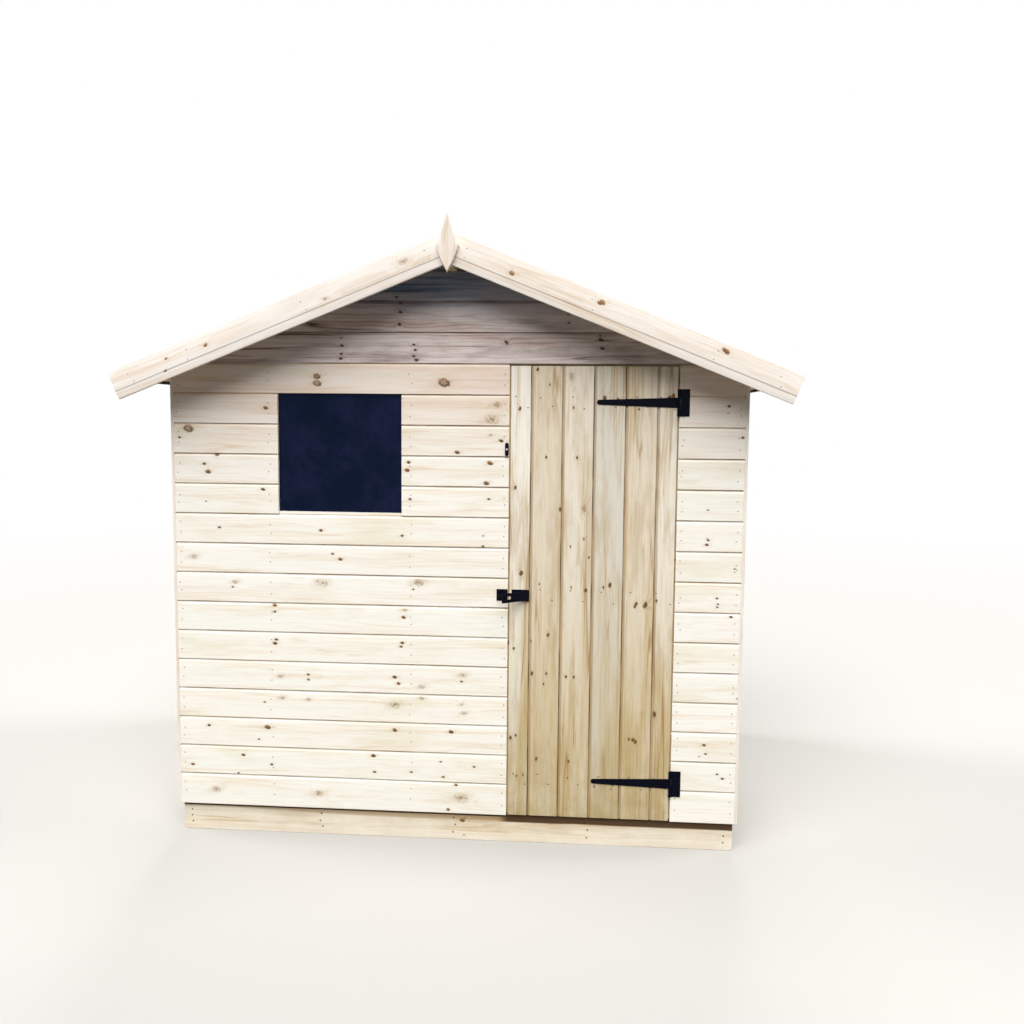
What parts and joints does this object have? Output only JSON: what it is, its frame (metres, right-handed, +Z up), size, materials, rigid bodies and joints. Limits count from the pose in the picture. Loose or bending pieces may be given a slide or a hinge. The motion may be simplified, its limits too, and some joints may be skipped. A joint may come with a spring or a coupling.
{
  "type": "wooden garden shed",
  "caption": "Small gable-front garden shed of pale shiplap boards with a ledged door, one square window, a felted roof and pointed finials.",
  "frame": {"origin": "on the ground, under the middle of the shed's overall box", "axes": "+X to the right across the gable front, +Y from the front to the back, +Z up"},
  "size_m": [2.5144, 1.888, 2.3614],
  "materials": {
    "cladding": "matte",
    "floor": "matte",
    "frame": "matte",
    "roof_boards": "matte",
    "felt": "matte",
    "bargeboards": "matte",
    "door": "matte",
    "window": "gloss",
    "black_metal": "satin"
  },
  "bodies": {
    "shed": {"front_wall_lower": "cladding", "front_wall_window_left": "cladding", "front_wall_window_right": "cladding", "front_wall_head": "cladding", "front_wall_hinge_side": "cladding", "front_gable": "cladding", "back_wall": "cladding", "back_gable": "cladding", "left_wall": "cladding", "right_wall": "cladding", "corner_strips": "cladding", "floor_joists": "floor", "front_floor_rim": "floor", "back_floor_rim": "floor", "floor_deck": "floor", "front_wall_studs": "frame", "front_wall_rails": "frame", "window_beads": "frame", "back_wall_studs": "frame", "back_wall_rails": "frame", "side_wall_studs": "frame", "side_wall_rails": "frame", "gable_rafters": "frame", "ridge_beam": "frame", "roof_purlins": "frame", "left_roof_boards": "roof_boards", "right_roof_boards": "roof_boards", "roof_felt": "felt", "front_left_bargeboard": "bargeboards", "front_right_bargeboard": "bargeboards", "back_left_bargeboard": "bargeboards", "back_right_bargeboard": "bargeboards", "front_finial": "bargeboards", "back_finial": "bargeboards", "window_pane": "window", "hinge_plates": "black_metal", "hasp_staple": "black_metal", "turn_button_screw": "black_metal"},
    "door": {"door_boards": "door", "door_ledges": "door", "door_braces": "door", "hinge_straps": "black_metal", "hasp_plate": "black_metal"},
    "strap": {"hasp_strap": "black_metal"},
    "button": {"turn_button": "black_metal"}
  },
  "joints": [
    {"name": "door_hinge", "type": "hinge", "parent": "shed", "child": "door", "pos_m": [0.836, -0.7675, 0.976], "axis": [0, 0, 1], "range_deg": [0, 90]},
    {"name": "hasp_hinge", "type": "hinge", "parent": "door", "child": "strap", "pos_m": [0.2875, -0.7665, 0.976], "axis": [0, 0, 1], "range_deg": [-40, 130]},
    {"name": "button_turn", "type": "hinge", "parent": "shed", "child": "button", "pos_m": [0.203, -0.7673, 1.528], "axis": [0, 1, 0], "range_deg": [-90, 90]}
  ]
}
